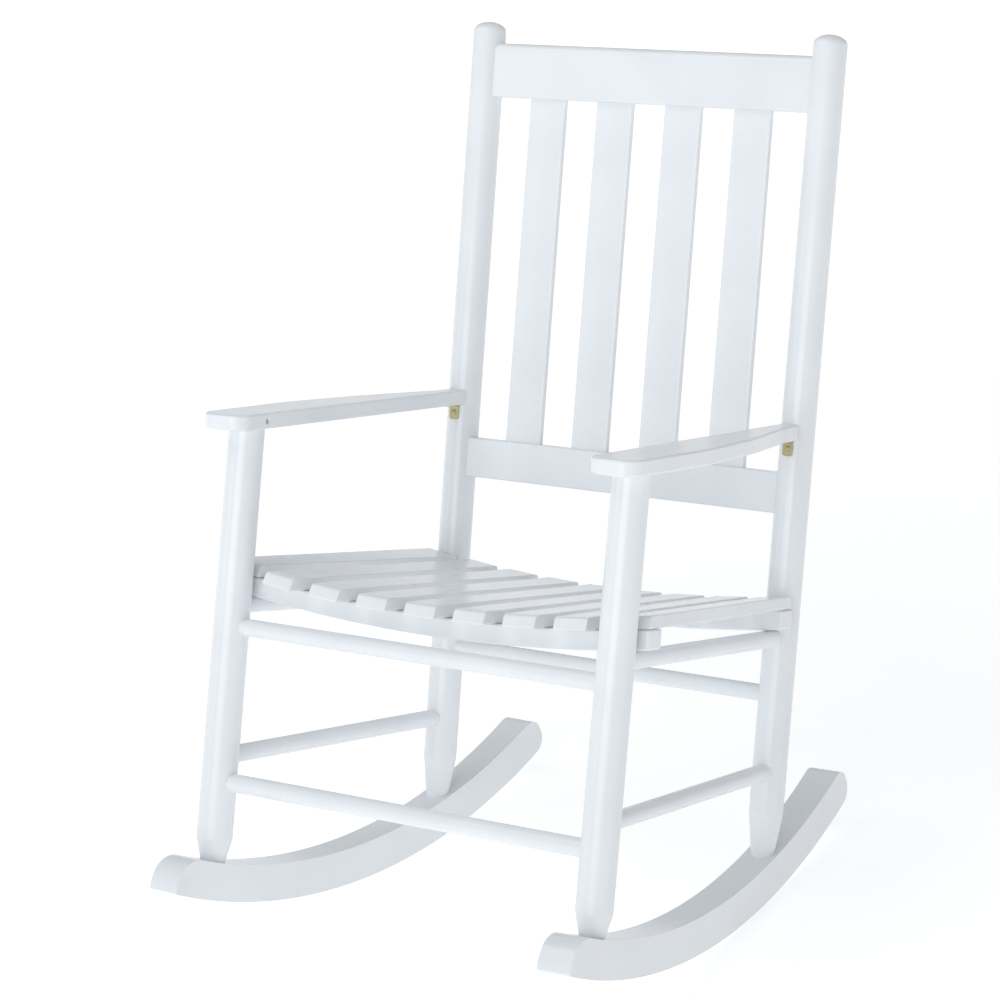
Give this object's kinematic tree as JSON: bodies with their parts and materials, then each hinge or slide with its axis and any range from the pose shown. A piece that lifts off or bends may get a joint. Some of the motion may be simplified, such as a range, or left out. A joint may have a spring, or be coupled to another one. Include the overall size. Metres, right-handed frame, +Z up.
{
  "type": "rocking chair",
  "caption": "White painted wooden porch rocking chair with turned posts, a dished slat seat, an upright slat back, flat arms and curved rockers.",
  "frame": {"origin": "middle of the chair's bounding box, on the floor the rockers stand on", "axes": "+X to the side, the chair's left and right halves mirror across X = 0; -Y the way a sitter faces; +Z up, with the chair leaning back on its rockers as it stands empty"},
  "size_m": [0.6442, 0.8803, 1.0474],
  "materials": {
    "white_paint": "satin to gloss white paint on wood",
    "brass": "zinc-yellow plated sheet and screws",
    "screw_steel": "plain steel screws and pins"
  },
  "bodies": {
    "root": {"arm_bracket_left": "brass", "arm_bracket_right": "brass", "arm_left": "white_paint", "arm_right": "white_paint", "arm_screw_left": "screw_steel", "arm_screw_right": "screw_steel", "back_post_left": "white_paint", "back_post_right": "white_paint", "back_rail_lower": "white_paint", "back_rail_lower_pin_left": "screw_steel", "back_rail_lower_pin_right": "screw_steel", "back_rail_upper": "white_paint", "back_rail_upper_pin_left": "screw_steel", "back_rail_upper_pin_right": "screw_steel", "back_slat_1": "white_paint", "back_slat_2": "white_paint", "back_slat_3": "white_paint", "back_slat_4": "white_paint", "bracket_arm_screw_left": "brass", "bracket_arm_screw_right": "brass", "bracket_post_screw_left": "brass", "bracket_post_screw_right": "brass", "front_lower_stretcher": "white_paint", "front_post_left": "white_paint", "front_post_right": "white_paint", "front_upper_stretcher": "white_paint", "rear_stretcher": "white_paint", "rocker_left": "white_paint", "rocker_right": "white_paint", "rocker_screw_back_left": "screw_steel", "rocker_screw_back_right": "screw_steel", "rocker_screw_front_left": "screw_steel", "rocker_screw_front_right": "screw_steel", "seat_apron_front": "white_paint", "seat_apron_rear": "white_paint", "seat_screw_front_left": "screw_steel", "seat_screw_front_right": "screw_steel", "seat_screw_rear_left": "screw_steel", "seat_screw_rear_right": "screw_steel", "seat_slat_1": "white_paint", "seat_slat_2": "white_paint", "seat_slat_3": "white_paint", "seat_slat_4": "white_paint", "seat_slat_5": "white_paint", "seat_slat_6": "white_paint", "seat_slat_7": "white_paint", "seat_slat_8": "white_paint", "seat_slat_9": "white_paint", "side_lower_stretcher_left": "white_paint", "side_lower_stretcher_right": "white_paint", "side_upper_stretcher_left": "white_paint", "side_upper_stretcher_right": "white_paint"}
  },
  "joints": []
}
